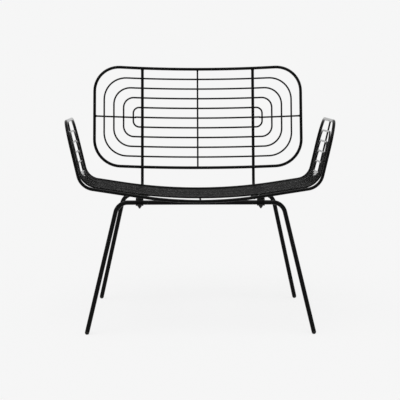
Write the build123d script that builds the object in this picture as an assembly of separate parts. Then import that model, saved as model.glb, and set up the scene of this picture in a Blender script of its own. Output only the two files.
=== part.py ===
import os
from math import asin, cos, pi, radians, sin, sqrt, tan

from build123d import *

os.makedirs("parts", exist_ok=True)

# Stock: the thick rod of the rings and rails, the thin wire of the nested loops, the leg tube
rod_diameter = 9.0
wire_diameter = 4.8
tube_diameter = 12.7
tube_wall = 1.5
weld_gap = 0.15  # room between two welded rods, filled by the weld bead

# Sides of each swept section, few because the wires repeat so often
rod_sides = 12
wire_sides = 6
tube_sides = 12
bore_sides = 8
stud_sides = 8

# Nested loops: spacing between neighbouring wires, the same on seat and back
loop_pitch = 31.2
edge_gap = 34.5  # outer ring to the first loop, across the runs

# Seat shell: half section from the middle outward is sag, slope, bend and arm
seat_loops = 7
seat_height = 391.6  # front edge, middle, at the wire centres
seat_front = 20.0  # behind the front feet
seat_pitch = 5.15  # degrees, the rear edge lower
sag_radius = 1460.0
ring_front_sag = 1080.0  # the ring dips more in front than behind
ring_rear_sag = 1560.0
ring_front_drop = 5.7  # ring below the loops in front, at the rails
seat_slope = 8.8  # degrees
slope_length = 80.8
bend_radius = 60.0
ring_bend = 50.0  # the ring turns up more sharply than the loops
arm_lean = 13.4  # degrees out from upright
arm_length = 151.0  # straight part above the bend
arm_end_gap = 36.0  # ring to the first loop at the top of the arm
arm_loops = 5  # loops that end a pitch apart on the arm
bend_end_pitch = 6.0  # between the ends of the other loops, close together in the bend
ring_toe = 0.46  # degrees, the arms open towards the rear
loop_toe = 0.9
toed_loops = 4  # the loops that end in the bend are straight
arm_wire_bend = 57.0
wire_overlap = 10.0  # length of an outer wire that laps the innermost loop
seat_corners = [82.0, 72.0, 56.0, 40.0, 19.0, 9.0, 12.0, 12.0]  # ring first, then loops inward

# Back shell: a plain arc section, hollow towards the sitter
back_loops = 4
back_rise = 225.0  # rail corner to the middle of the back, along the upright
back_recline = 16.5  # degrees
back_radius = 1080.0
back_reach = 328.0  # middle to the side of the ring, along the arc
back_end_pitch = 31.0
side_wire_radius = 2600.0  # flatter than the back, to lie along the loops' flat ends
side_wire_ease = 0.4
upright_clearance = 2.0  # the least room between an upright and the end of a side wire
back_corners = [82.0, 72.0, 55.0, 33.0, 19.0]

# Rails: one rod each side, under the seat and up behind the back
rail_spread = 174.5  # from the middle
rail_bend = 36.0
rail_run_out = 2.0  # straight rail behind the seat's rear rod
strut_tail = 3.0  # thin strut past the wire or rod that it lies under

# Leg frames
front_bar_place = 50.0  # behind the seat's front edge, along the rail
rear_bar_place = 470.0
front_bar_half = 237.3  # middle to the corner, before rounding
rear_bar_half = 230.0
front_foot_half = 325.5
rear_foot_half = 303.5
rear_foot_place = 530.0  # behind the front feet
leg_bend = 36.0
glide_height = 9.0  # bare glide below the tube's end, along the leg
glide_flat = 0.5
glide_stem = 14.0
glide_tapers = [0.0, 30.0, 60.0, 80.0]  # degrees round the glide's domed end
stem_clearance = 0.1

# Mount at each crossing of a rail and a leg bar
plate_width = 22.0
plate_depth = 20.0
plate_thickness = 3.0
front_saddle_crown = 3.8  # saddle between the plate and the top of the tube
rear_saddle_crown = 0.8
saddle_skirt = 3.5  # saddle below the top of the tube
washer_crown = 2.5
washer_skirt = 2.5
stud_diameter = 6.0
stud_tip = 3.0
nut_height = 5.0
nut_width = 10.0
hole_clearance = 0.3
seat_clearance = 0.1


def corner_radius(diameter, sides):
    """Corner radius of the many-sided section with the same area as a round one."""
    return diameter / 2 * sqrt(2 * pi / (sides * sin(2 * pi / sides)))


# Values worked out from the sizes above
rod_reach = corner_radius(rod_diameter, rod_sides)
wire_reach = corner_radius(wire_diameter, wire_sides)
tube_reach = corner_radius(tube_diameter, tube_sides)
on_rail = rod_reach + wire_reach + weld_gap  # rail centre to wire centre
on_wire = 2 * wire_reach + weld_gap  # wire centre to crossing wire centre
on_rod = 2 * rod_reach + weld_gap  # rail centre to the centre of a rod lying on it
seat_half = seat_loops * loop_pitch + edge_gap
back_half = back_loops * loop_pitch + edge_gap
slope = radians(seat_slope)
lean = radians(arm_lean)
seat_turn = pi / 2 - lean - slope

# A section is the half outline of a shell from its middle outward: the height of its middle, and
# its pieces, each a length and a radius, with no radius for a straight. An outset moves the whole
# outline away from the sitter.


def seat_section(sag=sag_radius, outset=0.0, flare=0.0, bend=None):
    """Half outline of the seat; another sag or bend leaves the arm where it is.

    A flare moves the bend and the arm outward, square to the arm, and leaves the arm's end level.
    """
    eased = sag - sag_radius
    bend_at = bend_radius + outset if bend is None else bend
    spare = (bend_radius + outset - bend_at) * tan(seat_turn / 2)
    middle = eased * (1 / cos(slope) - 1) - outset
    return middle, [
        ((sag + outset) * slope, sag + outset),
        (slope_length - eased * tan(slope) + spare + flare / cos(slope + lean), None),
        (bend_at * seat_turn, bend_at),
        (arm_length + spare - flare * tan(slope + lean), None),
    ]


def back_section(outset=0.0):
    """Half outline of the back, one long arc."""
    return -outset, [((back_radius + outset) * pi / 3, back_radius + outset)]


def section_length(section):
    return sum(length for length, radius in section[1])


def advance(place, heading, length, radius):
    """Point and heading after a length along a straight or an arc that turns up."""
    across, up = place
    if radius is None:
        return (across + length * cos(heading), up + length * sin(heading)), heading
    turned = heading + length / radius
    after = (
        across + radius * (sin(turned) - sin(heading)),
        up + radius * (cos(heading) - cos(turned)),
    )
    return after, turned


def walk(section, begin, end):
    """Start, middle and end of each piece of a section between two lengths, and where it arrives."""
    place, heading, done = (0.0, section[0]), 0.0, 0.0
    spans = []
    for length, radius in section[1]:
        low = max(begin - done, 0.0)
        high = min(end - done, length)
        if high - low > 1e-6:
            first, first_heading = advance(place, heading, low, radius)
            middle, _ = advance(first, first_heading, (high - low) / 2, radius)
            last, last_heading = advance(first, first_heading, high - low, radius)
            spans.append((first, middle, last, radius))
            arrival = (last, last_heading)
        place, heading = advance(place, heading, length, radius)
        done += length
    return spans, arrival


def height_at(section, across):
    """Height and slope of a section at a distance from the middle."""
    place, heading = (0.0, section[0]), 0.0
    for length, radius in section[1]:
        after, turned = advance(place, heading, length, radius)
        if after[0] >= across:
            break
        place, heading = after, turned
    if radius is None:
        return place[1] + (across - place[0]) * tan(heading), heading
    steeper = asin((across - place[0]) / radius + sin(heading))
    return place[1] + radius * (cos(heading) - cos(steeper)), steeper


def outside(section, across, distance):
    """Height of a rod centre that lies a distance outside the shell at a place across it."""
    height, steepness = height_at(section, across)
    return height - distance / cos(steepness)


def section_edges(spans, depth):
    """Edges of a run along a section at one depth of the shell."""
    edges = []
    for first, middle, last, radius in spans:
        points = [(place[0], depth, place[1]) for place in (first, middle, last)]
        if radius is None:
            edges.append(Line(points[0], points[2]))
        else:
            edges.append(ThreePointArc(*points))
    return edges


def swept(edges, diameter, sides):
    """Rod along a chain of tangent straights and arcs."""
    path = Wire(edges)
    profile = RegularPolygon(corner_radius(diameter, sides), sides)
    return sweep(Plane(origin=path @ 0, z_dir=path % 0) * profile, path=path)


def whole(half):
    """Both sides of a piece that is modelled from the chair's middle plane."""
    return half + mirror(half, about=Plane.YZ)


def run_wire(section, begin, end):
    """Thin wire along a section at the middle of the shell's depth."""
    return swept(section_edges(walk(section, begin, end)[0], 0.0), wire_diameter, wire_sides)


def end_middle(section, end, corner):
    """Place of the middle of a loop's end run, across and up."""
    (across, up), heading = walk(section, 0.0, end - corner)[1]
    return across + corner * cos(heading), up + corner * sin(heading)


def half_loop(front_section, rear_section, end_back, half_depth, corner):
    """Edges of the right half of a loop: front run, corner, end run, corner and rear run.

    The corners lie in the plane that touches the shell where they start and holds the ends of both
    runs, so each piece of the path is a straight or an arc and meets the next smoothly.
    """
    front_spans, (place, heading) = walk(front_section, 0.0, section_length(front_section) - end_back - corner)
    rear_spans, (rear_place, _) = walk(rear_section, 0.0, section_length(rear_section) - end_back - corner)
    start = Vector(place[0], -half_depth, place[1])
    finish = Vector(rear_place[0], half_depth, rear_place[1])
    along = Vector(cos(heading), 0, sin(heading)) * corner
    leaving = (finish - start).normalized() * corner
    bulge = 1 - cos(pi / 4)
    front = start + along + leaving
    rear = finish + along - leaving
    return [
        *section_edges(front_spans, -half_depth),
        ThreePointArc(start, start + along * sin(pi / 4) + leaving * bulge, front),
        Line(front, rear),
        ThreePointArc(rear, finish + along * sin(pi / 4) - leaving * bulge, finish),
        *section_edges(rear_spans, half_depth),
    ]


def tilted(front_rise, rear_rise, half_depth):
    """Frame of a ring that is lifted by different amounts at its two long runs."""
    steepness = (rear_rise - front_rise) / (2 * half_depth)
    return Plane(origin=(0, 0, (front_rise + rear_rise) / 2), x_dir=(1, 0, 0), z_dir=(0, -steepness, 1))


def in_frame(frame, part):
    return frame.location * part


# The seat frame lies at the middle of the seat's depth: across, rearward and up out of the seat.
# The back frame lies at the middle of the back: across, up the back and towards the sitter.
pitch = radians(seat_pitch)
rearward = Vector(0, cos(pitch), -sin(pitch))
seat_up = Vector(0, sin(pitch), cos(pitch))
seat_origin = Vector(0, seat_front, seat_height) + rearward * seat_half
seat_frame = Plane(origin=seat_origin, x_dir=(1, 0, 0), z_dir=seat_up)
rail_height = outside(seat_section(), rail_spread, on_rail)

recline = radians(back_recline)
up_back = Vector(0, sin(recline), cos(recline))
to_sitter = Vector(0, -cos(recline), sin(recline))
rail_turn = pi / 2 - recline + pitch
corner_place = seat_half + rail_run_out + rail_bend * tan(rail_turn / 2)
rail_corner = seat_origin + rearward * corner_place + seat_up * rail_height
upright_depth = outside(back_section(), rail_spread, on_rail)
back_origin = rail_corner + up_back * back_rise - to_sitter * upright_depth
back_frame = Plane(origin=back_origin, x_dir=(1, 0, 0), z_dir=to_sitter)

pieces = {}

# Seat shell: the ring's front run meets the ends of the rails and its rear run lies on them
ring_flare = seat_half * tan(radians(ring_toe))
ring_front = seat_section(ring_front_sag, flare=-ring_flare, bend=ring_bend)
ring_rear = seat_section(ring_rear_sag, flare=ring_flare, bend=ring_bend)
ring_path = half_loop(ring_front, ring_rear, 0.0, seat_half, seat_corners[0])
surface_height = height_at(seat_section(), rail_spread)[0]
ring_front_rise = surface_height - ring_front_drop - height_at(ring_front, rail_spread)[0]
ring_rear_rise = rail_height - outside(ring_rear, rail_spread, on_rod)
ring_frame = tilted(ring_front_rise, ring_rear_rise, seat_half)
seat_ring = in_frame(ring_frame, whole(swept(ring_path, rod_diameter, rod_sides)))
pieces["seat_ring"] = in_frame(seat_frame, seat_ring)

for number in range(1, seat_loops + 1):
    depth = (seat_loops + 1 - number) * loop_pitch
    flare = depth * tan(radians(loop_toe)) if number <= toed_loops else 0.0
    on_arm = min(number, arm_loops)
    end_back = arm_end_gap + (on_arm - 1) * loop_pitch + (number - on_arm) * bend_end_pitch
    path = half_loop(seat_section(flare=-flare), seat_section(flare=flare), end_back, depth, seat_corners[number])
    pieces[f"seat_loop_{number}"] = in_frame(seat_frame, whole(swept(path, wire_diameter, wire_sides)))

inner_end = section_length(seat_section()) - end_back
seat_centre_wire = whole(run_wire(seat_section(), 0.0, inner_end - on_wire))
pieces["seat_centre_wire"] = in_frame(seat_frame, seat_centre_wire)

# Arm wires lie outside the loops and end under the ring's top run
arm_section = seat_section(outset=on_wire, bend=arm_wire_bend)
ring_middle = seat_section(bend=ring_bend)
ring_top = end_middle(ring_middle, section_length(ring_middle), seat_corners[0])
arm_top, arm_heading = walk(arm_section, 0.0, section_length(arm_section))[1]
ring_top_up = ring_top[1] + ring_frame.origin.Z
past_top = (arm_top[0] - ring_top[0]) * cos(arm_heading) + (arm_top[1] - ring_top_up) * sin(arm_heading)
arm_end = section_length(arm_section) - past_top - rod_reach - weld_gap
arm_wire = run_wire(arm_section, inner_end - wire_overlap, arm_end)
pieces["arm_wire_right"] = in_frame(seat_frame, arm_wire)
pieces["arm_wire_left"] = in_frame(seat_frame, mirror(arm_wire, about=Plane.YZ))

cross_start = Vector(0, -seat_loops * loop_pitch - strut_tail, -on_wire)
cross_end = Vector(0, (seat_loops - 1) * loop_pitch + strut_tail, -on_wire)  # short of the rear bar
seat_cross_wire = swept([Line(cross_start, cross_end)], wire_diameter, wire_sides)
pieces["seat_cross_wire"] = in_frame(seat_frame, seat_cross_wire)

# Back shell: the ring's top run meets the ends of the uprights and its bottom run lies on them
back_end_back = section_length(back_section()) - back_reach
back_path = half_loop(back_section(), back_section(), back_end_back, back_half, back_corners[0])
back_surface = height_at(back_section(), rail_spread)[0]
bottom_rise = upright_depth - outside(back_section(), rail_spread, on_rod)
top_rise = upright_depth - back_surface
back_ring_frame = tilted(bottom_rise, top_rise, back_half)
back_ring = in_frame(back_ring_frame, whole(swept(back_path, rod_diameter, rod_sides)))
pieces["back_ring"] = in_frame(back_frame, back_ring)

for number in range(1, back_loops + 1):
    height = (back_loops + 1 - number) * loop_pitch
    end_back = back_end_back + number * back_end_pitch
    path = half_loop(back_section(), back_section(), end_back, height, back_corners[number])
    pieces[f"back_loop_{number}"] = in_frame(back_frame, whole(swept(path, wire_diameter, wire_sides)))

back_inner_end = back_reach - back_loops * back_end_pitch
back_centre_wire = whole(run_wire(back_section(), 0.0, back_inner_end - on_wire))
pieces["back_centre_wire"] = in_frame(back_frame, back_centre_wire)

# Side wires lie behind the loops' ends, clear of the uprights, and stop against the ring's side
side_outset = on_wire + side_wire_ease
past_upright = back_radius * asin(rail_spread / back_radius) + rod_reach + upright_clearance
side_begin = max(back_inner_end - wire_overlap, past_upright)
side_middle, side_pieces = back_section(side_outset)
side_section = (
    side_middle,
    [(side_begin * side_pieces[0][1] / back_radius, side_pieces[0][1]), (back_reach, side_wire_radius)],
)
side_wire_start = side_section[1][0][0]
ring_side = end_middle(back_section(), back_reach, back_corners[0])
side_stop = ring_side[0] - rod_reach - weld_gap
side_far, side_heading = walk(side_section, 0.0, side_wire_start + back_reach - side_begin)[1]
side_end = side_wire_start + back_reach - side_begin - (side_far[0] - side_stop) / cos(side_heading)
side_wire = run_wire(side_section, side_wire_start, side_end)
pieces["back_side_wire_right"] = in_frame(back_frame, side_wire)
pieces["back_side_wire_left"] = in_frame(back_frame, mirror(side_wire, about=Plane.YZ))

strut_start = Vector(0, -back_half - strut_tail, -on_wire)
strut_end = Vector(0, back_half - rod_reach - weld_gap, -on_wire)
back_centre_strut = swept([Line(strut_start, strut_end)], wire_diameter, wire_sides)
pieces["back_centre_strut"] = in_frame(back_frame, back_centre_strut)

# Rails: butt against the seat ring in front and the back ring at the top
rail_front = seat_origin + rearward * (rod_reach + weld_gap - seat_half) + seat_up * rail_height
rail_top = rail_corner + up_back * (back_rise + back_half - rod_reach - weld_gap)
rail_path = FilletPolyline(rail_front, rail_corner, rail_top, radius=rail_bend)
rail = swept(rail_path.edges(), rod_diameter, rod_sides)
pieces["back_rail_right"] = Pos(rail_spread, 0, 0) * rail
pieces["back_rail_left"] = Pos(-rail_spread, 0, 0) * rail

# Mount stack below the rail: plate, saddle, tube, cupped washer, nut
plate_top = rail_height - rod_reach - weld_gap
plate_bottom = plate_top - plate_thickness
tube_centres = {
    "front": plate_bottom - front_saddle_crown - tube_reach,
    "rear": plate_bottom - rear_saddle_crown - tube_reach,
}
bar_places = {"front": front_bar_place, "rear": rear_bar_place}
hole_diameter = stud_diameter + 2 * hole_clearance


def upright_rod(diameter, top, bottom):
    profile = RegularPolygon(corner_radius(diameter, stud_sides), stud_sides)
    return Pos(0, 0, bottom) * extrude(profile, top - bottom)


def block(top, bottom):
    return Pos(0, 0, (top + bottom) / 2) * Box(plate_width, plate_depth, top - bottom)


def grooved_block(top, bottom, tube_centre):
    """Block across the tube, drilled for the stud and hollowed to sit on the tube."""
    groove = Cylinder(tube_reach + seat_clearance, 2 * plate_width, rotation=(0, 90, 0))
    return block(top, bottom) - Pos(0, 0, tube_centre) * groove - upright_rod(hole_diameter, top + 1, bottom - 1)


def mount_stack(tube_centre):
    """Plate with its stud, saddle, cupped washer and nut round a tube at this height."""
    washer_bottom = tube_centre - tube_reach - washer_crown
    nut_bottom = washer_bottom - nut_height
    stud = upright_rod(stud_diameter, plate_bottom, nut_bottom - stud_tip)
    saddle = grooved_block(plate_bottom, tube_centre + tube_reach - saddle_skirt, tube_centre)
    washer = grooved_block(tube_centre - tube_reach + washer_skirt, washer_bottom, tube_centre)
    nut_blank = Pos(0, 0, nut_bottom) * extrude(RegularPolygon(nut_width / sqrt(3), 6), nut_height)
    nut = nut_blank - upright_rod(stud_diameter + 2 * seat_clearance, washer_bottom + 1, nut_bottom - 1)
    return block(plate_top, plate_bottom) + stud, saddle, washer, nut


washers = []
nuts = []
for end, tube_centre in tube_centres.items():
    stack = mount_stack(tube_centre)
    for side, across in (("left", -rail_spread), ("right", rail_spread)):
        place = Pos(across, bar_places[end] - seat_half, 0)
        plate, saddle, washer, nut = [in_frame(seat_frame, place * part) for part in stack]
        pieces[f"mount_plate_{end}_{side}"] = plate
        pieces[f"saddle_{end}_{side}"] = saddle
        washers.append(washer)
        nuts.append(nut)
pieces["cupped_washers"] = Compound(washers)
pieces["lock_nuts"] = Compound(nuts)


def leg_frame(end, bar_half, foot_half, foot_place):
    """One bent tube, a bar with two splayed legs, and the domed glides in its ends."""
    tube_centre = tube_centres[end]
    bar_back = bar_places[end] - seat_half
    bar = seat_origin + rearward * bar_back + seat_up * tube_centre
    knee = Vector(bar_half, bar.Y, bar.Z)
    foot = Vector(foot_half, foot_place, tube_diameter / 2 - glide_flat)
    down = (foot - knee).normalized()
    cap_height = glide_height - tube_diameter / 2
    tube_end = foot - down * cap_height
    other_end = Vector(-tube_end.X, tube_end.Y, tube_end.Z)
    other_knee = Vector(-knee.X, knee.Y, knee.Z)
    path = FilletPolyline(tube_end, knee, other_knee, other_end, radius=leg_bend).edges()
    bore_diameter = tube_diameter - 2 * tube_wall
    frame = swept(path, tube_diameter, tube_sides) - swept(path, bore_diameter, bore_sides)
    drill = upright_rod(hole_diameter, tube_centre + tube_diameter, tube_centre - tube_diameter)
    for across in (-rail_spread, rail_spread):
        frame -= in_frame(seat_frame, Pos(across, bar_back, 0) * drill)
    stem_radius = corner_radius(bore_diameter, bore_sides) * cos(pi / bore_sides) - stem_clearance
    rounds = [Pos(0, 0, cap_height) * RegularPolygon(tube_reach, tube_sides)]
    for taper in glide_tapers:
        profile = RegularPolygon(tube_reach * cos(radians(taper)), tube_sides)
        rounds.append(Pos(0, 0, -tube_diameter / 2 * sin(radians(taper))) * profile)
    stem = Pos(0, 0, cap_height) * extrude(RegularPolygon(stem_radius, tube_sides), glide_stem)
    glide = in_frame(Plane(origin=foot, z_dir=down * -1), loft(rounds, ruled=True) + stem)
    floor_size = 4 * tube_diameter
    glide -= Pos(foot_half, foot_place, -floor_size / 2) * Box(floor_size, floor_size, floor_size)
    pieces[f"{end}_leg_frame"] = frame
    pieces[f"{end}_right_glide"] = glide
    pieces[f"{end}_left_glide"] = mirror(glide, about=Plane.YZ)


leg_frame("front", front_bar_half, front_foot_half, 0.0)
leg_frame("rear", rear_bar_half, rear_foot_half, rear_foot_place)

# The origin is on the floor, in the middle of the chair's width and depth
extent = Compound(list(pieces.values())).bounding_box()
to_front = -(extent.min.Y + extent.max.Y) / 2
for name, part in pieces.items():
    export_step(Pos(0, to_front, 0) * part, f"parts/{name}.step")
print(f"chair {extent.size.X:.1f} wide, {extent.size.Y:.1f} deep, {extent.size.Z:.1f} high")
print(f"lowest point {extent.min.Z:.3f}, front feet at {to_front:.2f}")
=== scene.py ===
from itertools import product
from math import cos, pi, radians, sin, sqrt, tan

import bpy
import numpy as np
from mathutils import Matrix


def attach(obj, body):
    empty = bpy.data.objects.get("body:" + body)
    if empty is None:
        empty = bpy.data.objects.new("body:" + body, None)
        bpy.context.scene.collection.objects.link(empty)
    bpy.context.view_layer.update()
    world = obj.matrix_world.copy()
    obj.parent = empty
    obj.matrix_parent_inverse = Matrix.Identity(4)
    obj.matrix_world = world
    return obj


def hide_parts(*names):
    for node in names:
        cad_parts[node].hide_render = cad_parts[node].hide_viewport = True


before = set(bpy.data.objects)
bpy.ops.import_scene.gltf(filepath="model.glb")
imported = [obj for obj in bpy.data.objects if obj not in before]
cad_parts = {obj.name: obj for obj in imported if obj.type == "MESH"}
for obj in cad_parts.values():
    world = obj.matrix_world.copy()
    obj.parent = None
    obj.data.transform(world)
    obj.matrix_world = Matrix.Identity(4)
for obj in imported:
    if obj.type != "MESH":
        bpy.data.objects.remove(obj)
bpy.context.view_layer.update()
print("frame:", len(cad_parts), "nodes loaded")

# Sizes are in mm and degrees; meshes are turned to metres when they are made
millimetre = 0.001
leftRight = (("left", -1.0), ("right", 1.0))
stock = {
    "rod": 9.0, "wire": 4.8, "tube": 12.7, "weldGap": 0.15,
    "rodSides": 12, "wireSides": 6, "tubeSides": 12,  # sides of the CAD sections
    "rodFaces": 26, "wireFaces": 18, "tubeFaces": 32,  # faces round the dressed sections
    "turnStep": 4.0, "runStep": 16.0, "leastStep": 1.0,  # degrees in a bend, mm on a straight, least mm
    "cornerStations": 15, "endStations": 4, "strutStations": 21, "crossStations": 25, "lookups": 8001,
    "cutEdge": 0.35,  # rounding of a cut end
}
seatShape = {
    "loops": 7, "pitch": 31.2, "edgeGap": 34.5, "height": 391.6, "front": 20.0, "tilt": 5.15,
    "sag": 1460.0, "ringFrontSag": 1080.0, "ringRearSag": 1560.0, "ringFrontDrop": 5.7,
    "slope": 8.8, "slopeLength": 80.8, "bend": 60.0, "ringBend": 50.0,
    "armLean": 13.4, "armLength": 151.0, "armEndGap": 36.0, "armLoops": 5, "bendEndPitch": 6.0,
    "ringToe": 0.46, "loopToe": 0.9, "toedLoops": 4, "armWireBend": 57.0, "lap": 10.0,
    "corners": [82.0, 72.0, 56.0, 40.0, 19.0, 9.0, 12.0, 12.0],  # ring first, then loops inward
    "focus": 400.0,  # height above the shell of the point that its sections face
}
backShape = {
    "loops": 4, "rise": 225.0, "recline": 16.5, "radius": 1080.0, "halfArc": 60.0, "reach": 328.0,
    "endPitch": 31.0, "sideRadius": 2600.0, "sideEase": 0.4,
    "corners": [82.0, 72.0, 55.0, 33.0, 19.0], "focus": 600.0,
}
railShape = {"spread": 174.5, "bend": 36.0, "runOut": 2.0, "strutTail": 3.0}
legShape = {
    "front": {"barPlace": 50.0, "barHalf": 237.3, "footHalf": 325.5, "footPlace": 0.0},
    "rear": {"barPlace": 470.0, "barHalf": 230.0, "footHalf": 303.5, "footPlace": 530.0},
    "bend": 36.0, "glideHeight": 9.0, "glideFlat": 0.5,
    "toFront": -338.12,  # where the front feet stand when the chair is centred
}


def sectionReach(name):
    # corner radius of the CAD's many-sided section, which has the area of the round stock
    sides = stock[name + "Sides"]
    return stock[name] / 2 * sqrt(2 * pi / (sides * sin(2 * pi / sides)))


reaches = {name: sectionReach(name) for name in ("rod", "wire", "tube")}
rodReach, wireReach, tubeReach = reaches["rod"], reaches["wire"], reaches["tube"]
onRail = rodReach + wireReach + stock["weldGap"]  # rail centre to wire centre
onWire = 2 * wireReach + stock["weldGap"]  # the same between two wires, and between two rods
onRod = 2 * rodReach + stock["weldGap"]
slope = radians(seatShape["slope"])
lean = radians(seatShape["armLean"])
seatHalf = seatShape["loops"] * seatShape["pitch"] + seatShape["edgeGap"]
backHalf = backShape["loops"] * seatShape["pitch"] + seatShape["edgeGap"]


# A section is a half outline: the height of its middle, then parts of (length, radius), where a
# straight has no radius
def seatSection(sag=seatShape["sag"], outset=0.0, flare=0.0, bend=None):
    # sag arc, sloping straight, bend and arm; another sag or bend leaves the arm in place, and a
    # flare moves it outward, square to itself, without lifting its end
    eased = sag - seatShape["sag"]
    turn = pi / 2 - lean - slope
    bendAt = seatShape["bend"] + outset if bend is None else bend
    spare = (seatShape["bend"] + outset - bendAt) * tan(turn / 2)
    middle = eased * (1 / cos(slope) - 1) - outset
    return middle, [
        ((sag + outset) * slope, sag + outset),
        (seatShape["slopeLength"] - eased * tan(slope) + spare + flare / cos(slope + lean), None),
        (bendAt * turn, bendAt),
        (seatShape["armLength"] + spare - flare * tan(slope + lean), None),
    ]


def backSection(outset=0.0):
    # one long arc, more than the back needs
    radius = backShape["radius"] + outset
    return -outset, [(radius * radians(backShape["halfArc"]), radius)]


def sectionLength(section):
    # its parts' lengths added up
    return sum(length for length, radius in section[1])


def arcStep(heading, length, curve):
    # chord of an arc: shorter by sin(t/2)/(t/2), pointing halfway through its turn t
    turn = length * curve
    chord = length * np.sinc(turn / (2 * pi))
    return np.stack([chord * np.cos(heading + turn / 2), chord * np.sin(heading + turn / 2)], -1)


def sectionTable(section):
    # curvature of each part, and start length, heading and place of each part and of the end
    lengths = np.array([part[0] for part in section[1]])
    curves = np.array([0.0 if part[1] is None else 1 / part[1] for part in section[1]])
    starts = np.concatenate([[0.0], np.cumsum(lengths)])
    headings = np.concatenate([[0.0], np.cumsum(lengths * curves)])
    steps = np.cumsum(arcStep(headings[:-1], lengths, curves), 0)
    places = np.concatenate([np.zeros((1, 2)), steps]) + [0.0, section[0]]
    return curves, starts, headings, places


def sectionAt(section, along):
    # place and heading at lengths along a section
    curves, starts, headings, places = sectionTable(section)
    part = np.clip(np.searchsorted(starts, along, "right") - 1, 0, len(curves) - 1)
    local = along - starts[part]
    place = places[part] + arcStep(headings[part], local, curves[part])
    return place, headings[part] + local * curves[part]


def stationsAlong(section, begin, end):
    # lengths to sample at: close in bends, wide apart on straights
    curves, starts, _, _ = sectionTable(section)
    bounds = np.clip(starts, begin, end)
    spans = np.diff(bounds)
    counts = np.maximum(spans * curves / radians(stock["turnStep"]), spans / stock["runStep"])
    counts = np.ceil(counts).astype(int)
    runs = [np.linspace(bounds[i], bounds[i + 1], counts[i] + 1) for i in range(len(spans)) if counts[i]]
    return np.unique(np.round(np.concatenate(runs), 6))


def heightAt(section, across):
    # height and heading of a section at a distance from its middle
    places, headings = sectionAt(section, np.linspace(0.0, sectionLength(section), stock["lookups"]))
    return np.interp(across, places[:, 0], places[:, 1]), np.interp(across, places[:, 0], headings)


def outsideShell(section, across, distance):
    # height of a rod centre that lies a distance outside the shell
    height, heading = heightAt(section, across)
    return height - distance / cos(heading)


def unit(vectors):
    # each vector divided by its length
    return vectors / np.linalg.norm(vectors, axis=-1, keepdims=True)


def fullTurn(faces):
    # angles evenly spaced round a circle
    return np.linspace(0.0, 2 * pi, faces, endpoint=False)


def mirrored(points):
    # x turned to minus x
    return points * np.array([-1.0, 1.0, 1.0])


def bothSides(half):
    # a path from the middle, joined to its mirror image
    return np.concatenate([mirrored(half)[::-1][:-1], half])


def pathLengths(points):
    # length along a path up to each of its points
    return np.concatenate([[0.0], np.cumsum(np.linalg.norm(np.diff(points, axis=0), axis=1))])


def pathAt(points, spots):
    # points at given lengths along a path
    lengths = pathLengths(points)
    return np.column_stack([np.interp(spots, lengths, points[:, k]) for k in range(3)])


def runPath(section, begin, end, depth=0.0):
    # points along one side of a section at a depth of the shell
    places, _ = sectionAt(section, stationsAlong(section, begin, end))
    return np.column_stack([places[:, 0], np.full(len(places), depth), places[:, 1]])


def loopPath(frontSection, rearSection, endBack, halfDepth, corner):
    # closed loop: front run, quarter-round corner, end run, corner, rear run, then the same mirrored;
    # corners lie in the plane through the ends of both runs that touches the shell
    frontEnd = sectionLength(frontSection) - endBack - corner
    rearEnd = sectionLength(rearSection) - endBack - corner
    frontRun = runPath(frontSection, 0.0, frontEnd, -halfDepth)
    rearRun = runPath(rearSection, 0.0, rearEnd, halfDepth)
    heading = sectionAt(frontSection, np.array([frontEnd]))[1][0]
    along = np.array([cos(heading), 0.0, sin(heading)])
    leaving = unit(rearRun[-1] - frontRun[-1])
    turn = np.linspace(0.0, pi / 2, stock["cornerStations"])[1:, None]
    frontCorner = frontRun[-1] + corner * (np.sin(turn) * along + (1 - np.cos(turn)) * leaving)
    rearCorner = rearRun[-1] + corner * (np.sin(turn) * along - (1 - np.cos(turn)) * leaving)
    count = max(stock["endStations"], round(2 * (halfDepth - corner) / stock["runStep"]))
    share = np.linspace(0.0, 1.0, count + 1)[1:-1, None]
    endRun = frontCorner[-1] + share * (rearCorner[-1] - frontCorner[-1])
    half = np.concatenate([frontRun, frontCorner, endRun, rearCorner[::-1], rearRun[::-1]])
    return np.concatenate([half, mirrored(half)[::-1][1:-1]])


def roundedPath(corners, radius):
    # straights joined by arcs that touch both neighbours
    corners = [np.array(corner, float) for corner in corners]
    pieces = [corners[0][None]]
    for before, corner, after in zip(corners, corners[1:], corners[2:]):
        inward, onward = unit(corner - before), unit(after - corner)
        turn = np.arccos(np.clip(inward @ onward, -1.0, 1.0))
        aside = unit(onward - (onward @ inward) * inward)
        bent = np.linspace(0.0, turn, int(np.ceil(turn / radians(stock["turnStep"]))) + 1)[:, None]
        start = corner - inward * radius * tan(turn / 2)
        pieces.append(start + radius * (np.sin(bent) * inward + (1 - np.cos(bent)) * aside))
    points = np.concatenate(pieces + [corners[-1][None]])
    lengths = pathLengths(points)
    extra = np.arange(0.0, lengths[-1], stock["runStep"])
    spots = np.unique(np.round(np.concatenate([lengths, extra]), 3))
    keep = np.concatenate([[True], np.diff(spots) > stock["leastStep"]])
    return pathAt(points, spots[keep])


def frameOf(origin, zAxis):
    # origin and axes, with x across the chair
    zAxis = unit(np.array(zAxis, float))
    xAxis = np.array([1.0, 0.0, 0.0])
    return np.array(origin, float), np.array([xAxis, np.cross(zAxis, xAxis), zAxis])


def inFrame(here, points):
    # origin plus each coordinate times its axis
    return here[0] + np.asarray(points, float) @ here[1]


def tiltedFrame(frontRise, rearRise, halfDepth):
    # frame of a ring that is lifted by different amounts at its two long runs
    steepness = (rearRise - frontRise) / (2 * halfDepth)
    return frameOf((0.0, 0.0, (frontRise + rearRise) / 2), (0.0, -steepness, 1.0))


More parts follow.
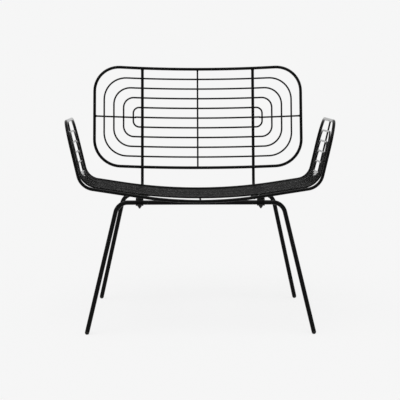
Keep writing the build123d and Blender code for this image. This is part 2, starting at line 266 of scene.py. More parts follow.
# Frames: the seat's lies at the middle of its depth, the back's at the middle of the back
tilt = radians(seatShape["tilt"])
rearward = np.array([0.0, cos(tilt), -sin(tilt)])
seatUp = np.array([0.0, sin(tilt), cos(tilt)])
seatFront = np.array([0.0, seatShape["front"] + legShape["toFront"], seatShape["height"]])
seatOrigin = seatFront + rearward * seatHalf
seatFrame = frameOf(seatOrigin, seatUp)
railHeight = outsideShell(seatSection(), railShape["spread"], onRail)
recline = radians(backShape["recline"])
upBack = np.array([0.0, sin(recline), cos(recline)])
toSitter = np.array([0.0, -cos(recline), sin(recline)])
cornerPlace = seatHalf + railShape["runOut"] + railShape["bend"] * tan((pi / 2 - recline + tilt) / 2)
railCorner = seatOrigin + rearward * cornerPlace + seatUp * railHeight
uprightDepth = outsideShell(backSection(), railShape["spread"], onRail)
backFrame = frameOf(railCorner + upBack * backShape["rise"] - toSitter * uprightDepth, toSitter)

rods = {}  # name: path, closed, radius, faces round, and which way the section's first point faces


def addRod(name, points, stockName, facing, closed=False):
    # one facing direction serves the whole path, or one for each point
    rods[name] = {
        "points": points, "closed": closed, "radius": reaches[stockName],
        "faces": stock[stockName + "Faces"], "facing": np.broadcast_to(facing, points.shape),
    }


def addLoop(name, placed, stockName, here, focus):
    # a loop's section faces a point above the middle of its shell
    addRod(name, placed, stockName, inFrame(here, [[0.0, 0.0, focus]]) - placed, closed=True)


# Seat shell
ringFlare = seatHalf * tan(radians(seatShape["ringToe"]))
ringFront = seatSection(seatShape["ringFrontSag"], flare=-ringFlare, bend=seatShape["ringBend"])
ringRear = seatSection(seatShape["ringRearSag"], flare=ringFlare, bend=seatShape["ringBend"])
surfaceHeight = heightAt(seatSection(), railShape["spread"])[0]
ringFrontRise = surfaceHeight - seatShape["ringFrontDrop"] - heightAt(ringFront, railShape["spread"])[0]
ringRearRise = railHeight - outsideShell(ringRear, railShape["spread"], onRod)
ringFrame = tiltedFrame(ringFrontRise, ringRearRise, seatHalf)
ringPath = inFrame(ringFrame, loopPath(ringFront, ringRear, 0.0, seatHalf, seatShape["corners"][0]))
addLoop("seat_ring", inFrame(seatFrame, ringPath), "rod", seatFrame, seatShape["focus"])
for number in range(1, seatShape["loops"] + 1):
    depth = (seatShape["loops"] + 1 - number) * seatShape["pitch"]
    flare = depth * tan(radians(seatShape["loopToe"])) if number <= seatShape["toedLoops"] else 0.0
    onArm = min(number, seatShape["armLoops"])
    endBack = seatShape["armEndGap"] + (onArm - 1) * seatShape["pitch"]
    endBack += (number - onArm) * seatShape["bendEndPitch"]
    ends = seatSection(flare=-flare), seatSection(flare=flare)
    path = loopPath(*ends, endBack, depth, seatShape["corners"][number])
    addLoop(f"seat_loop_{number}", inFrame(seatFrame, path), "wire", seatFrame, seatShape["focus"])

innerEnd = sectionLength(seatSection()) - endBack
centrePath = bothSides(runPath(seatSection(), 0.0, innerEnd - onWire))
addRod("seat_centre_wire", inFrame(seatFrame, centrePath), "wire", rearward)

armSection = seatSection(outset=onWire, bend=seatShape["armWireBend"])
ringTop = sectionAt(seatSection(), np.array([sectionLength(seatSection())]))[0][0]
ringTop = ringTop + [0.0, ringFrame[0][2]]
armTop, armHeading = sectionAt(armSection, np.array([sectionLength(armSection)]))
pastTop = (armTop[0] - ringTop) @ np.array([cos(armHeading[0]), sin(armHeading[0])])
armEnd = sectionLength(armSection) - pastTop - rodReach - stock["weldGap"]
armPath = runPath(armSection, innerEnd - seatShape["lap"], armEnd)
addRod("arm_wire_right", inFrame(seatFrame, armPath), "wire", rearward)
addRod("arm_wire_left", inFrame(seatFrame, mirrored(armPath)), "wire", rearward)

tail = railShape["strutTail"]
crossEnds = -seatShape["loops"] * seatShape["pitch"], (seatShape["loops"] - 1) * seatShape["pitch"]
crossSpan = np.linspace(*crossEnds, stock["crossStations"])
crossSpan[[0, -1]] += [-tail, tail]  # from the first loop in front to the second behind
crossPath = crossSpan[:, None] * [0.0, 1.0, 0.0] - [0.0, 0.0, onWire]
addRod("seat_cross_wire", inFrame(seatFrame, crossPath), "wire", (1.0, 0.0, 0.0))

# Back shell
backEndBack = sectionLength(backSection()) - backShape["reach"]
bottomRise = uprightDepth - outsideShell(backSection(), railShape["spread"], onRod)
topRise = uprightDepth - heightAt(backSection(), railShape["spread"])[0]
backRingFrame = tiltedFrame(bottomRise, topRise, backHalf)
backRingPath = loopPath(backSection(), backSection(), backEndBack, backHalf, backShape["corners"][0])
backRingPath = inFrame(backFrame, inFrame(backRingFrame, backRingPath))
addLoop("back_ring", backRingPath, "rod", backFrame, backShape["focus"])
for number in range(1, backShape["loops"] + 1):
    height = (backShape["loops"] + 1 - number) * seatShape["pitch"]
    endBack = backEndBack + number * backShape["endPitch"]
    path = loopPath(backSection(), backSection(), endBack, height, backShape["corners"][number])
    addLoop(f"back_loop_{number}", inFrame(backFrame, path), "wire", backFrame, backShape["focus"])

backInnerEnd = backShape["reach"] - backShape["loops"] * backShape["endPitch"]
centrePath = bothSides(runPath(backSection(), 0.0, backInnerEnd - onWire))
addRod("back_centre_wire", inFrame(backFrame, centrePath), "wire", upBack)

# Side wires: from the innermost loop, flatter than the back, to the ring's side
sideBegin = backInnerEnd - seatShape["lap"]
sideMiddle, sideParts = backSection(onWire + backShape["sideEase"])
sideStart = sideBegin * sideParts[0][1] / backShape["radius"]
sideSection = sideMiddle, [(sideStart, sideParts[0][1]), (backShape["reach"], backShape["sideRadius"])]
ringSideAlong = np.array([backShape["reach"] - backShape["corners"][0]])
ringSideEnd, ringSideHeading = sectionAt(backSection(), ringSideAlong)
ringSide = ringSideEnd[0][0] + backShape["corners"][0] * cos(ringSideHeading[0])
sideFull = sideStart + backShape["reach"] - sideBegin
sideFar, sideHeading = sectionAt(sideSection, np.array([sideFull]))
sideEnd = sideFull - (sideFar[0][0] - ringSide + rodReach + stock["weldGap"]) / cos(sideHeading[0])
sidePath = runPath(sideSection, sideStart, sideEnd)
addRod("back_side_wire_right", inFrame(backFrame, sidePath), "wire", upBack)
addRod("back_side_wire_left", inFrame(backFrame, mirrored(sidePath)), "wire", upBack)

strutEnds = -backHalf - tail, backHalf - rodReach - stock["weldGap"]
strutSpan = np.linspace(*strutEnds, stock["strutStations"])
strutPath = strutSpan[:, None] * [0.0, 1.0, 0.0] - [0.0, 0.0, onWire]
addRod("back_centre_strut", inFrame(backFrame, strutPath), "wire", (1.0, 0.0, 0.0))

# Rails
railFront = seatOrigin + rearward * (rodReach + stock["weldGap"] - seatHalf) + seatUp * railHeight
railTop = railCorner + upBack * (backShape["rise"] + backHalf - rodReach - stock["weldGap"])
railPath = roundedPath([railFront, railCorner, railTop], railShape["bend"])
for side, sign in leftRight:
    addRod(f"back_rail_{side}", railPath + [sign * railShape["spread"], 0.0, 0.0], "rod", (1.0, 0.0, 0.0))

# Leg frames hang below the mounts: plate under the rail, then the saddle, then the tube
mountShape = {
    "width": 22.0, "depth": 20.0, "plate": 3.0, "plateCorner": 4.0, "plateEdge": 0.5, "cornerStations": 6,
    "saddleCrown": {"front": 3.8, "rear": 0.8}, "saddleSkirt": 3.5, "washerCrown": 2.5, "washerSkirt": 2.5,
    "mouldEdge": 0.7, "mouldStations": 4, "grooveRoom": 0.1, "grooveStations": 17,
    "stud": 6.0, "studTip": 3.0, "studRoot": 1.0, "studFaces": 16, "tipTaper": 0.8,
    "threadPitch": 1.0, "threadDepth": 0.45, "threadSteps": 6,
}
plateTop = railHeight - rodReach - stock["weldGap"]
plateBottom = plateTop - mountShape["plate"]
tubeCentres = {end: plateBottom - crown - tubeReach for end, crown in mountShape["saddleCrown"].items()}

feet = {}  # name: foot centre and the direction down the leg
for end in ("front", "rear"):
    sizes = legShape[end]
    bar = seatOrigin + rearward * (sizes["barPlace"] - seatHalf) + seatUp * tubeCentres[end]
    knee = np.array([sizes["barHalf"], bar[1], bar[2]])
    footHeight = stock["tube"] / 2 - legShape["glideFlat"]
    foot = np.array([sizes["footHalf"], sizes["footPlace"] + legShape["toFront"], footHeight])
    down = unit(foot - knee)
    tubeEnd = foot - down * (legShape["glideHeight"] - stock["tube"] / 2)
    legCorners = [tubeEnd, knee, mirrored(knee), mirrored(tubeEnd)]
    addRod(f"{end}_leg_frame", roundedPath(legCorners, legShape["bend"]), "tube", (0.0, 1.0, 0.0))
    feet[f"{end}_right_glide"] = foot, down
    feet[f"{end}_left_glide"] = mirrored(foot), mirrored(down)
print("paths:", len(rods), "rods laid out")

# Finishes: the texture of a coat or a moulded skin is one group, placed in each material
textureShares = {
    "patchTone": 0.7, "dimpleTone": 0.3, "patchGloss": 0.6, "grainGloss": 0.4,
    "dimpleHeight": 0.75, "grainHeight": 0.25,
}
noiseDetail = {"Patch Scale": 3.0, "Dimple Scale": 2.0, "Grain Scale": 1.0}
noiseMiddle = 0.5
bumpDepth = 0.0002  # metres
finishes = {
    "powderCoat": {  # black powder coat on the wire and rod
        "dark": (0.0009, 0.0009, 0.0010), "light": (0.0028, 0.0027, 0.0026),
        "rough": 0.12, "roughSpread": 0.06, "specular": 0.055, "metallic": 0.0,
        "patch": 26.0, "dimple": 900.0, "grain": 2600.0, "bump": 0.12,
    },
    "tubeCoat": {  # the same coat on the leg tube, with a little more gloss
        "dark": (0.0009, 0.0009, 0.0010), "light": (0.0026, 0.0025, 0.0025),
        "rough": 0.13, "roughSpread": 0.06, "specular": 0.075, "metallic": 0.0,
        "patch": 18.0, "dimple": 760.0, "grain": 2400.0, "bump": 0.12,
    },
    "glidePlastic": {  # moulded black glide
        "dark": (0.004, 0.004, 0.004), "light": (0.011, 0.011, 0.010),
        "rough": 0.62, "roughSpread": 0.2, "specular": 0.2, "metallic": 0.0,
        "patch": 160.0, "dimple": 1500.0, "grain": 3600.0, "bump": 0.2,
    },
    "saddlePlastic": {  # moulded black saddle with a sparked texture
        "dark": (0.004, 0.004, 0.004), "light": (0.010, 0.010, 0.010),
        "rough": 0.7, "roughSpread": 0.15, "specular": 0.2, "metallic": 0.0,
        "patch": 90.0, "dimple": 1800.0, "grain": 4200.0, "bump": 0.25,
    },
    "blackSteel": {  # blackened nuts and washers
        "dark": (0.010, 0.010, 0.011), "light": (0.024, 0.023, 0.022),
        "rough": 0.44, "roughSpread": 0.25, "specular": 0.5, "metallic": 0.85,
        "patch": 220.0, "dimple": 1300.0, "grain": 3000.0, "bump": 0.1,
    },
}


def coatTextureGroup():
    # patches of tone, uneven gloss, and the fine dimples of a baked or moulded skin
    group = bpy.data.node_groups.new("coatTexture", "ShaderNodeTree")
    inputs = (
        ("Place", "NodeSocketVector"), ("Dark", "NodeSocketColor"), ("Light", "NodeSocketColor"),
        ("Rough", "NodeSocketFloat"), ("Rough Spread", "NodeSocketFloat"),
        ("Patch Scale", "NodeSocketFloat"), ("Dimple Scale", "NodeSocketFloat"),
        ("Grain Scale", "NodeSocketFloat"),
    )
    outputs = (
        ("Color", "NodeSocketColor"), ("Roughness", "NodeSocketFloat"), ("Height", "NodeSocketFloat"),
    )
    for way, sockets in (("INPUT", inputs), ("OUTPUT", outputs)):
        for name, kind in sockets:
            group.interface.new_socket(name=name, in_out=way, socket_type=kind)
    nodes, links = group.nodes, group.links
    source, sink = nodes.new("NodeGroupInput"), nodes.new("NodeGroupOutput")

    def noise(scaleName, detail):
        # fine or coarse by the scale that comes into the group
        node = nodes.new("ShaderNodeTexNoise")
        node.inputs["Detail"].default_value = detail
        links.new(source.outputs["Place"], node.inputs["Vector"])
        links.new(source.outputs[scaleName], node.inputs["Scale"])
        return node.outputs["Fac"]

    def combine(operation, first, second):
        # one step of arithmetic on sockets or plain numbers
        node = nodes.new("ShaderNodeMath")
        node.operation = operation
        for socket, value in zip(node.inputs, (first, second)):
            if isinstance(value, float):
                socket.default_value = value
            else:
                links.new(value, socket)
        return node.outputs[0]

    def blend(first, firstShare, second, secondShare):
        # two textures, each times its share, added up
        return combine("ADD", combine("MULTIPLY", first, textureShares[firstShare]),
                       combine("MULTIPLY", second, textureShares[secondShare]))

    patch, dimple, grain = (noise(name, detail) for name, detail in noiseDetail.items())
    tone = nodes.new("ShaderNodeMix")
    tone.data_type = "RGBA"
    links.new(blend(patch, "patchTone", dimple, "dimpleTone"), tone.inputs["Factor"])
    links.new(source.outputs["Dark"], tone.inputs["A"])
    links.new(source.outputs["Light"], tone.inputs["B"])
    links.new(tone.outputs["Result"], sink.inputs["Color"])
    uneven = combine("SUBTRACT", blend(patch, "patchGloss", grain, "grainGloss"), noiseMiddle)
    spread = combine("MULTIPLY", uneven, source.outputs["Rough Spread"])
    links.new(combine("ADD", source.outputs["Rough"], spread), sink.inputs["Roughness"])
    links.new(blend(dimple, "dimpleHeight", grain, "grainHeight"), sink.inputs["Height"])
    return group


coatTexture = coatTextureGroup()


def makeFinish(name):
    # the texture group drives colour, roughness and bump; what is the same all over is set on the shader
    values = finishes[name]
    material = bpy.data.materials.new(name)
    material.use_nodes = True
    nodes, links = material.node_tree.nodes, material.node_tree.links
    shader = nodes["Principled BSDF"]
    shader.inputs["Metallic"].default_value = values["metallic"]
    shader.inputs["Specular IOR Level"].default_value = values["specular"]
    place = nodes.new("ShaderNodeTexCoord")
    texture = nodes.new("ShaderNodeGroup")
    texture.node_tree = coatTexture
    links.new(place.outputs["Object"], texture.inputs["Place"])
    for socket, key in (("Rough", "rough"), ("Rough Spread", "roughSpread"), ("Patch Scale", "patch"),
                        ("Dimple Scale", "dimple"), ("Grain Scale", "grain")):
        texture.inputs[socket].default_value = values[key]
    texture.inputs["Dark"].default_value = (*values["dark"], 1.0)
    texture.inputs["Light"].default_value = (*values["light"], 1.0)
    bump = nodes.new("ShaderNodeBump")
    bump.inputs["Strength"].default_value = values["bump"]
    bump.inputs["Distance"].default_value = bumpDepth
    links.new(texture.outputs["Color"], shader.inputs["Base Color"])
    links.new(texture.outputs["Roughness"], shader.inputs["Roughness"])
    links.new(texture.outputs["Height"], bump.inputs["Height"])
    links.new(bump.outputs["Normal"], shader.inputs["Normal"])
    material.diffuse_color = (*values["light"], 1.0)
    return material


materials = {name: makeFinish(name) for name in finishes}
print("finishes:", len(materials))

# Meshes are grids of points in mm, shaped (rings, around, 3)
sharpAngle = 42.0  # edges that turn more than this stay sharp


def gridFaces(rings, around, closed):
    # quads between neighbouring rings, closed round, and a cap at each end where not closed along
    ids = np.arange(rings * around).reshape(rings, around)
    near, far = (ids, np.roll(ids, -1, 0)) if closed else (ids[:-1], ids[1:])
    quads = np.stack([near, np.roll(near, -1, 1), np.roll(far, -1, 1), far], -1).reshape(-1, 4)
    caps = ids[:0] if closed else np.stack([ids[0, ::-1], ids[-1]])
    return quads, caps


def addPiece(name, blocks, finish, nodes=()):
    # grids joined into one mesh, each turned outward by the sign of the volume inside it
    points, faces, offset = [], [], 0
    for grid, closed in blocks:
        quads, caps = gridFaces(*grid.shape[:2], closed)
        flat = grid.reshape(-1, 3)
        corners = flat[quads] - flat.mean(0)
        volume = np.einsum("ij,ij->", corners[:, 0], np.cross(corners[:, 1], corners[:, 2]))
        volume += np.einsum("ij,ij->", corners[:, 0], np.cross(corners[:, 2], corners[:, 3]))
        step = -1 if volume < 0 else 1
        faces += (quads[:, ::step] + offset).tolist() + (caps[:, ::step] + offset).tolist()
        points.append(flat)
        offset += len(flat)
    mesh = bpy.data.meshes.new(name)
    mesh.from_pydata((np.concatenate(points) * millimetre).tolist(), [], faces)
    mesh.polygons.foreach_set("use_smooth", np.ones(len(mesh.polygons), bool))
    mesh.set_sharp_from_angle(angle=radians(sharpAngle))
    mesh.materials.append(materials[finish])
    piece = bpy.data.objects.new(name, mesh)
    bpy.context.scene.collection.objects.link(piece)
    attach(piece, "root")
    if nodes:
        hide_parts(*nodes)


def pathTangents(points, closed):
    # from the point before to the point after, made one long
    if closed:
        return unit(np.roll(points, -1, 0) - np.roll(points, 1, 0))
    return unit(np.gradient(points, axis=0))


def carryRound(rod):
    # point + radius * (cos a * n + sin a * b), with n square to the path and turned to the facing
    points, radius, edge = rod["points"], rod["radius"], stock["cutEdge"]
    tangents, facing = pathTangents(points, rod["closed"]), rod["facing"]
    radii = np.full(len(points), radius)
    if not rod["closed"]:  # two rings at each end round the cut edge
        first, last = points[:1] + tangents[0] * edge, points[-1:] - tangents[-1] * edge
        points = np.concatenate([points[:1], first, points[1:-1], last, points[-1:]])
        tangents = np.concatenate([tangents[:1], tangents, tangents[-1:]])
        facing = np.concatenate([facing[:1], facing, facing[-1:]])
        radii = np.concatenate([[radius - edge], radii, [radius - edge]])
    normal = unit(facing - (facing * tangents).sum(1, keepdims=True) * tangents)
    across = np.cross(tangents, normal)
    angle = fullTurn(rod["faces"])[None, :, None]
    ring = np.cos(angle) * normal[:, None] + np.sin(angle) * across[:, None]
    return points[:, None] + radii[:, None, None] * ring


for name, rod in rods.items():
    words = name.title().replace("_", "")
    finish = "tubeCoat" if name.endswith("leg_frame") else "powderCoat"
    addPiece(words[0].lower() + words[1:], [(carryRound(rod), rod["closed"])], finish, [name])
print("rods:", len(rods), "pieces made")

# Glides: a short skirt below the tube's end and a dome that stands flat on the floor
glideShape = {
    "faces": 32, "inTube": 1.0, "seam": 0.45, "seamDepth": 0.5, "edge": 0.3,
    "mouldLine": 0.12, "lineHeights": [0.5, 0.3, 0.1], "domeRings": 9, "domeEnd": 86.0,
}


def glideGrid(foot, down):
    # foot + height * up + radius * (cos a * n + sin a * b), with the heights held above the floor
    radius = stock["tube"] / 2
    top = legShape["glideHeight"] - radius
    seam, edge = top - glideShape["seam"], glideShape["edge"]
    neck = radius - glideShape["seamDepth"]
    dome = np.linspace(0.0, radians(glideShape["domeEnd"]), glideShape["domeRings"])
    radii = [neck, neck, radius - edge, radius, radius, radius + glideShape["mouldLine"], radius]
    heights = [top + glideShape["inTube"], seam, seam, seam - edge, *glideShape["lineHeights"]]
    radii = np.concatenate([radii, radius * np.cos(dome)])[:, None, None]
    heights = np.concatenate([heights, -radius * np.sin(dome)])[:, None, None]
    normal = unit(np.cross(down, [0.0, 1.0, 0.0]))
    angle = fullTurn(glideShape["faces"])[None, :, None]
    outward = np.cos(angle) * normal + np.sin(angle) * np.cross(down, normal)
    grid = foot - heights * down + radii * outward
    grid[..., 2] = np.maximum(grid[..., 2], 0.0)
    return grid


for name, (foot, down) in feet.items():
    end, side, _ = name.split("_")
    addPiece(f"{end}{side.title()}Glide", [(glideGrid(foot, down), False)], "glidePlastic", [name])
print("glides:", len(feet))

# Mounts: plate with its stud and weld beads, saddle, cupped washer and nut, all in the seat's frame
beadShape = {
    "size": 1.4, "length": 16.0, "aside": 3.5, "rise": 0.7, "flat": 0.8,
    "ripple": 0.09, "rippleLength": 1.7, "endPower": 6, "tip": 0.001, "stations": 33, "faces": 10,
}
nutShape = {
    "height": 5.0, "width": 10.0, "collar": 1.5, "faces": 36, "chamfer": 0.4, "slope": 0.5,
    "topShare": 1.02, "collarShare": 0.86, "tipShare": 0.78,  # radii, as shares of half the width
    "boreRoom": 0.1,
}


def roundedOutline(inset):
    # quarter arcs about fixed centres, joined by the straights between them
    corner = mountShape["plateCorner"]
    quarter = np.linspace(0.0, pi / 2, mountShape["cornerStations"])
    angle = np.concatenate([quarter + turn for turn in (0.0, pi / 2, pi, 1.5 * pi)])
    side = np.repeat([[1.0, 1.0], [-1.0, 1.0], [-1.0, -1.0], [1.0, -1.0]], len(quarter), 0)
    centres = side * [mountShape["width"] / 2 - corner, mountShape["depth"] / 2 - corner]
    return centres + (corner - inset) * np.stack([np.cos(angle), np.sin(angle)], -1)


def plateGrid():
    # the outline stacked at four heights, drawn in at the top and bottom edges
    edge = mountShape["plateEdge"]
    levels = ((plateTop, edge), (plateTop - edge, 0.0), (plateBottom + edge, 0.0), (plateBottom, edge))
    return np.stack([np.insert(roundedOutline(inset), 2, height, 1) for height, inset in levels])


def studGrid(bottom):
    # radius less a zigzag that climbs one pitch a turn, drawn in over the last part of the tip
    pitchLength, radius = mountShape["threadPitch"], mountShape["stud"] / 2
    threadTop = bottom + mountShape["studTip"] + nutShape["height"] / 2
    thread = np.arange(threadTop, bottom, -pitchLength / mountShape["threadSteps"])
    heights = np.concatenate([[plateBottom + mountShape["studRoot"]], thread, [bottom]])[:, None]
    angle = fullTurn(mountShape["studFaces"])[None]
    zigzag = np.abs((heights / pitchLength + angle / (2 * pi)) % 1.0 * 2 - 1)
    radii = radius - mountShape["threadDepth"] * zigzag * (heights <= threadTop)
    radii = radii - np.clip(mountShape["tipTaper"] - (heights - bottom), 0.0, None)
    return np.stack([radii * np.cos(angle), radii * np.sin(angle), heights + 0 * angle], -1)


def beadGrid(sign):
    # weld bead in the crevice between rail and plate: a row of ripples whose radius falls to almost
    # nothing at both ends, as the root of one less a high power of the share of the way
    length, size = beadShape["length"], beadShape["size"]
    along = np.linspace(-length / 2, length / 2, beadShape["stations"])[:, None]
    ripple = 1 + beadShape["ripple"] * np.cos(2 * pi * along / beadShape["rippleLength"] + sign)
    fall = np.sqrt(1 + beadShape["tip"] - (2 * along / length) ** beadShape["endPower"])
    swell = size * fall * ripple
    angle = fullTurn(beadShape["faces"])[None]
    aside = sign * beadShape["aside"] + swell * np.cos(angle)
    height = plateTop + beadShape["rise"] * size + beadShape["flat"] * swell * np.sin(angle)
    return np.stack([aside, along + 0 * angle, height], -1)


def saddleOutline(crown, skirt):
    # across the tube, from its centre: groove on the tube, then round the four outer corners
    groove, edge = tubeReach + mountShape["grooveRoom"], mountShape["mouldEdge"]
    side = mountShape["depth"] / 2 - edge
    low, high = tubeReach - skirt, tubeReach + crown
    start = np.arcsin(low / groove)
    arc = np.linspace(start, pi - start, mountShape["grooveStations"])
    quarter = np.linspace(-pi / 2, -pi, mountShape["mouldStations"])
    outline = [groove * np.stack([np.cos(arc), np.sin(arc)], -1)]
    centres = ((-side, low + edge), (-side, high - edge), (side, high - edge), (side, low + edge))
    for number, centre in enumerate(centres):
        turn = quarter - number * pi / 2
        outline.append(np.array(centre) + edge * np.stack([np.cos(turn), np.sin(turn)], -1))
    return np.concatenate(outline)


def saddleGrid(crown, skirt, upward):
    # the outline carried along the tube, drawn in along its own normals at both ends
    outline, half = saddleOutline(crown, skirt), mountShape["width"] / 2
    edge = mountShape["mouldEdge"] / 2
    tangent = unit(np.roll(outline, -1, 0) - np.roll(outline, 1, 0))
    inward = np.stack([tangent[:, 1], -tangent[:, 0]], -1)
    stations = ((-half, edge), (-half + edge, 0.0), (half - edge, 0.0), (half, edge))
    grid = np.stack([np.insert(outline + inset * inward, 0, along, 1) for along, inset in stations])
    return grid * [1.0, 1.0, upward]


def nutGrid(top):
    # hexagon radius apothem / cos(angle from a flat's middle), held inside a chamfer and a round collar
    half, bottom = nutShape["width"] / 2, top - nutShape["height"]
    shoulder = bottom + nutShape["collar"]
    free = 2 * half  # beyond the hexagon's corners
    collar, tip = half * nutShape["collarShare"], half * nutShape["tipShare"]
    angle = fullTurn(nutShape["faces"])[None]
    hexagon = half / np.cos(angle % (pi / 3) - pi / 6)
    levels = np.array([
        (top, half * nutShape["topShare"]), (top - nutShape["chamfer"], free),
        (shoulder + nutShape["slope"], free), (shoulder, half), (shoulder, collar),
        (bottom + nutShape["chamfer"], collar), (bottom, tip),
        (bottom, mountShape["stud"] / 2 + nutShape["boreRoom"]),
    ])
    radii = np.minimum(hexagon, levels[:, 1:])
    return np.stack([radii * np.cos(angle), radii * np.sin(angle), levels[:, :1] + 0 * angle], -1)


washerBlocks, nutBlocks = [], []
for end, tubeCentre in tubeCentres.items():
    washerBottom = tubeCentre - tubeReach - mountShape["washerCrown"]
    studBottom = washerBottom - nutShape["height"] - mountShape["studTip"]
    for side, sign in leftRight:
        middle = np.array([sign * railShape["spread"], legShape[end]["barPlace"] - seatHalf, 0.0])
        onTube = middle + [0.0, 0.0, tubeCentre]
        plateParts = [plateGrid(), studGrid(studBottom), beadGrid(-1.0), beadGrid(1.0)]
        blocks = [(inFrame(seatFrame, part + middle), False) for part in plateParts]
        addPiece(f"{end}{side.title()}MountPlate", blocks, "powderCoat", [f"mount_plate_{end}_{side}"])
        saddle = saddleGrid(mountShape["saddleCrown"][end], mountShape["saddleSkirt"], 1.0)
        blocks = [(inFrame(seatFrame, saddle + onTube), False)]
        addPiece(f"{end}{side.title()}Saddle", blocks, "saddlePlastic", [f"saddle_{end}_{side}"])
        washer = saddleGrid(mountShape["washerCrown"], mountShape["washerSkirt"], -1.0)
        washerBlocks.append((inFrame(seatFrame, washer + onTube), False))
        nutBlocks.append((inFrame(seatFrame, nutGrid(washerBottom) + middle), False))
addPiece("cuppedWashers", washerBlocks, "blackSteel", ["cupped_washers"])
addPiece("lockNuts", nutBlocks, "blackSteel", ["lock_nuts"])
print("mounts:", len(nutBlocks), "of each piece")

# Welds: a flattened nugget where two rods cross, a fillet where one ends on another
weldShape = {
    "step": 4.0, "reach": 0.75, "merge": 2.0,  # search along the rods, widest gap, nearest two welds
    "wireSize": 2.7, "rodSize": 3.5, "spread": 0.12, "flat": 0.45, "lobe": 0.08, "lobes": 3,
    "latitudes": [-72.0, -36.0, 0.0, 36.0, 72.0], "faces": 10, "seed": 11,
}
filletShape = {
    "size": 0.9, "places": [-2.8, -1.6, -0.7, 0.1, 1.3], "shares": [0.03, 0.25, 0.62, 1.0, 0.8],
    "wave": 0.15, "waves": 4, "faces": 20,
}
weldRandom = np.random.default_rng(weldShape["seed"])


def evenPoints(rod):
    # points one step apart, past the start again on a closed loop
    points = np.concatenate([rod["points"], rod["points"][:3]]) if rod["closed"] else rod["points"]
    full = pathLengths(points)[-1]
    return pathAt(points, np.linspace(0.0, full, int(full / weldShape["step"]) + 1))


def crossings(first, second):
    # nearest points of the two lines at each local least distance: contact, axis, first rod's direction
    here, there = evenPoints(first), evenPoints(second)
    gaps = np.linalg.norm(here[:, None] - there[None], axis=2)
    near = gaps.min(1)
    touching = first["radius"] + second["radius"] + weldShape["reach"]
    low = (near[1:-1] < near[:-2]) & (near[1:-1] <= near[2:]) & (near[1:-1] < touching + weldShape["step"])
    i = np.flatnonzero(low) + 1
    j = gaps[i].argmin(1)
    inside = (j > 0) & (j < len(there) - 1)
    i, j = i[inside], j[inside]
    along, across = unit(here[i + 1] - here[i - 1]), unit(there[j + 1] - there[j - 1])
    offset = here[i] - there[j]
    turn, onHere, onThere = (along * across).sum(1), (along * offset).sum(1), (across * offset).sum(1)
    start = here[i] + ((turn * onThere - onHere) / (1 - turn ** 2))[:, None] * along
    finish = there[j] + ((onThere - turn * onHere) / (1 - turn ** 2))[:, None] * across
    gap = np.linalg.norm(finish - start, axis=1)
    axis = (finish - start) / gap[:, None]
    spot = start + axis * (first["radius"] + (gap - first["radius"] - second["radius"]) / 2)[:, None]
    _, once = np.unique(np.round(spot / weldShape["merge"]), axis=0, return_index=True)
    once = once[gap[once] < touching]
    return spot[once], axis[once], along[once]


def nuggetGrids(spot, axis, along, size):
    # squashed balls: size * cos(latitude) outward with a slight lobe, flat * size * sin(latitude) up
    count = len(spot)
    latitude = np.radians(weldShape["latitudes"])[None, :, None, None]
    angle = fullTurn(weldShape["faces"])[None, None, :, None]
    sizes = size * (1 + weldShape["spread"] * weldRandom.uniform(-1.0, 1.0, (count, 1, 1, 1)))
    start = weldRandom.uniform(0.0, 2 * pi, (count, 1, 1, 1))
    lobes = 1 + weldShape["lobe"] * np.cos(weldShape["lobes"] * angle + start)
    side = np.cross(axis, along)
    outward = np.cos(angle) * along[:, None, None] + np.sin(angle) * side[:, None, None]
    upward = weldShape["flat"] * np.sin(latitude) * axis[:, None, None]
    return spot[:, None, None] + sizes * (lobes * np.cos(latitude) * outward + upward)


def filletGrid(rod, last):
    # collar round a rod's end: radius + size * share, wider towards what the rod ends on, with a wave
    points = rod["points"] if last else rod["points"][::-1]
    end, along = points[-1], unit(points[-1] - points[-2])
    side = unit(np.cross(along, rod["facing"][0]))
    angle = fullTurn(filletShape["faces"])[None, :, None]
    places = np.array(filletShape["places"])[:, None, None]
    shares = np.array(filletShape["shares"])[:, None, None]
    start = weldRandom.uniform(0.0, 2 * pi)
    wave = 1 + filletShape["wave"] * np.cos(filletShape["waves"] * angle + start) * shares
    outward = np.cos(angle) * side + np.sin(angle) * np.cross(along, side)
    return end + places * along + (rod["radius"] + filletShape["size"] * shares * wave) * outward


rails = ["back_rail_left", "back_rail_right"]
armWires = ["arm_wire_left", "arm_wire_right"]
sideWires = ["back_side_wire_left", "back_side_wire_right"]
seatLoops = [f"seat_loop_{number}" for number in range(1, seatShape["loops"] + 1)]
backLoops = [f"back_loop_{number}" for number in range(1, backShape["loops"] + 1)]
weldPlans = {  # pairs of rods that cross, and ends: the rod's name, and whether it is its last end
    "seatWelds": {
        "pairs": [(rails, ["seat_ring", *seatLoops]), (["seat_cross_wire"], ["seat_centre_wire", *seatLoops]),
                  (armWires, seatLoops)],
        "ends": [*((name, False) for name in rails), *((name, True) for name in armWires)],
    },
    "backWelds": {
        "pairs": [(rails, ["back_ring", *backLoops]),
                  (["back_centre_strut"], ["back_ring", "back_centre_wire", *backLoops]),
                  (sideWires, backLoops)],
        "ends": [(name, True) for name in (*rails, *sideWires, "back_centre_strut")],
    },
}
for name, plan in weldPlans.items():
    blocks = [(filletGrid(rods[rodName], last), False) for rodName, last in plan["ends"]]
    for carriers, carried in plan["pairs"]:
        for first, second in product(carriers, carried):
            bothRods = min(rods[first]["radius"], rods[second]["radius"]) > wireReach
            size = weldShape["rodSize" if bothRods else "wireSize"]
            found = crossings(rods[first], rods[second])
            blocks += [(grid, False) for grid in nuggetGrids(*found, size)]
    addPiece(name, blocks, "powderCoat")
    print(name + ":", len(blocks), "welds")

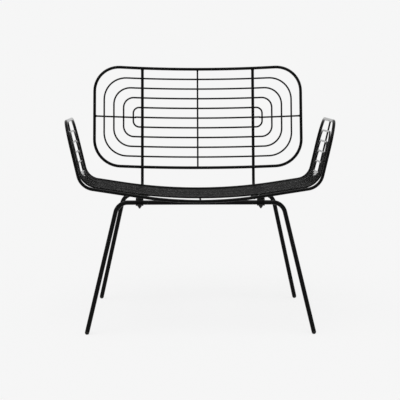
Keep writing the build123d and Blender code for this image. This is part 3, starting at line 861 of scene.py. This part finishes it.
# Studio: pale floor, a wide soft light from above and the photograph's camera
studio = {
    "background": 0.9216, "floorSize": 60.0, "skyLight": 0.42,
    "sunShare": 0.58, "sunAngle": 45.0, "sunTilt": (12.0, -8.0),  # share of the light, width, tilts
    "floorShadow": 0.15,  # how much of the floor's shading the camera sees
}
view = {
    "place": (-77.85, -5537.15, 1142.5), "down": 8.243, "toRight": 0.839,
    "focal": 1850.0, "pixels": 400.0, "sensor": 36.0, "farthest": 200.0,  # farthest in metres
}


def seenRays(nodes, links):
    # 1 for rays from the camera, by a reflection or through glass, and 0 for light
    rays = nodes.new("ShaderNodeLightPath")
    first, both = nodes.new("ShaderNodeMath"), nodes.new("ShaderNodeMath")
    first.operation = both.operation = "MAXIMUM"
    links.new(rays.outputs["Is Camera Ray"], first.inputs[0])
    links.new(rays.outputs["Is Glossy Ray"], first.inputs[1])
    links.new(first.outputs[0], both.inputs[0])
    links.new(rays.outputs["Is Transmission Ray"], both.inputs[1])
    return both.outputs[0]


def makeFloor():
    # shaded by the light, but seen mostly in its plain colour
    half = studio["floorSize"] / 2
    corners = [(-half, -half, 0.0), (half, -half, 0.0), (half, half, 0.0), (-half, half, 0.0)]
    mesh = bpy.data.meshes.new("studioFloor")
    mesh.from_pydata(corners, [], [(0, 1, 2, 3)])
    floor = bpy.data.objects.new("studioFloor", mesh)
    bpy.context.scene.collection.objects.link(floor)
    material = bpy.data.materials.new("paleFloor")
    material.use_nodes = True
    nodes, links = material.node_tree.nodes, material.node_tree.links
    shaded = nodes["Principled BSDF"]
    shaded.inputs["Base Color"].default_value = (studio["background"],) * 3 + (1.0,)
    shaded.inputs["Roughness"].default_value = 1.0
    shaded.inputs["Specular IOR Level"].default_value = 0.0
    plain = nodes.new("ShaderNodeEmission")
    plain.inputs["Color"].default_value = (studio["background"],) * 3 + (1.0,)
    share = nodes.new("ShaderNodeMath")
    share.operation = "MULTIPLY"
    share.inputs[1].default_value = 1.0 - studio["floorShadow"]
    mix = nodes.new("ShaderNodeMixShader")
    links.new(seenRays(nodes, links), share.inputs[0])
    links.new(share.outputs[0], mix.inputs["Fac"])
    links.new(shaded.outputs[0], mix.inputs[1])
    links.new(plain.outputs[0], mix.inputs[2])
    links.new(mix.outputs[0], nodes["Material Output"].inputs["Surface"])
    mesh.materials.append(material)


def makeLight():
    # even light from all round and one wide lamp overhead, which add up to one on a level surface
    world = bpy.data.worlds.new("studioWorld")
    bpy.context.scene.world = world
    world.use_nodes = True
    nodes, links = world.node_tree.nodes, world.node_tree.links
    sky = nodes["Background"]
    backdrop = nodes.new("ShaderNodeBackground")
    for shader, strength in ((sky, studio["skyLight"]), (backdrop, studio["background"])):
        shader.inputs["Color"].default_value = (1.0, 1.0, 1.0, 1.0)
        shader.inputs["Strength"].default_value = strength
    mix = nodes.new("ShaderNodeMixShader")
    links.new(seenRays(nodes, links), mix.inputs["Fac"])
    links.new(sky.outputs[0], mix.inputs[1])
    links.new(backdrop.outputs[0], mix.inputs[2])
    links.new(mix.outputs[0], nodes["World Output"].inputs["Surface"])
    lamp = bpy.data.lights.new("overheadSoftbox", "SUN")
    tiltX, tiltY = (radians(value) for value in studio["sunTilt"])
    lamp.energy = pi * studio["sunShare"] / (cos(tiltX) * cos(tiltY))
    lamp.angle = radians(studio["sunAngle"])
    softbox = bpy.data.objects.new("overheadSoftbox", lamp)
    softbox.rotation_euler = (tiltX, tiltY, 0.0)
    bpy.context.scene.collection.objects.link(softbox)


def makeCamera():
    # focal length in pixels, turned to mm on the sensor
    lens = bpy.data.cameras.new("photoView")
    lens.sensor_width = view["sensor"]
    lens.lens = view["focal"] / view["pixels"] * view["sensor"]
    lens.clip_end = view["farthest"]
    camera = bpy.data.objects.new("photoView", lens)
    camera.location = [value * millimetre for value in view["place"]]
    camera.rotation_euler = (radians(90.0 - view["down"]), 0.0, radians(-view["toRight"]))
    bpy.context.scene.collection.objects.link(camera)
    bpy.context.scene.camera = camera


makeFloor()
makeLight()
makeCamera()
bpy.context.scene.view_settings.view_transform = "Standard"
print("studio: floor, light and camera set")
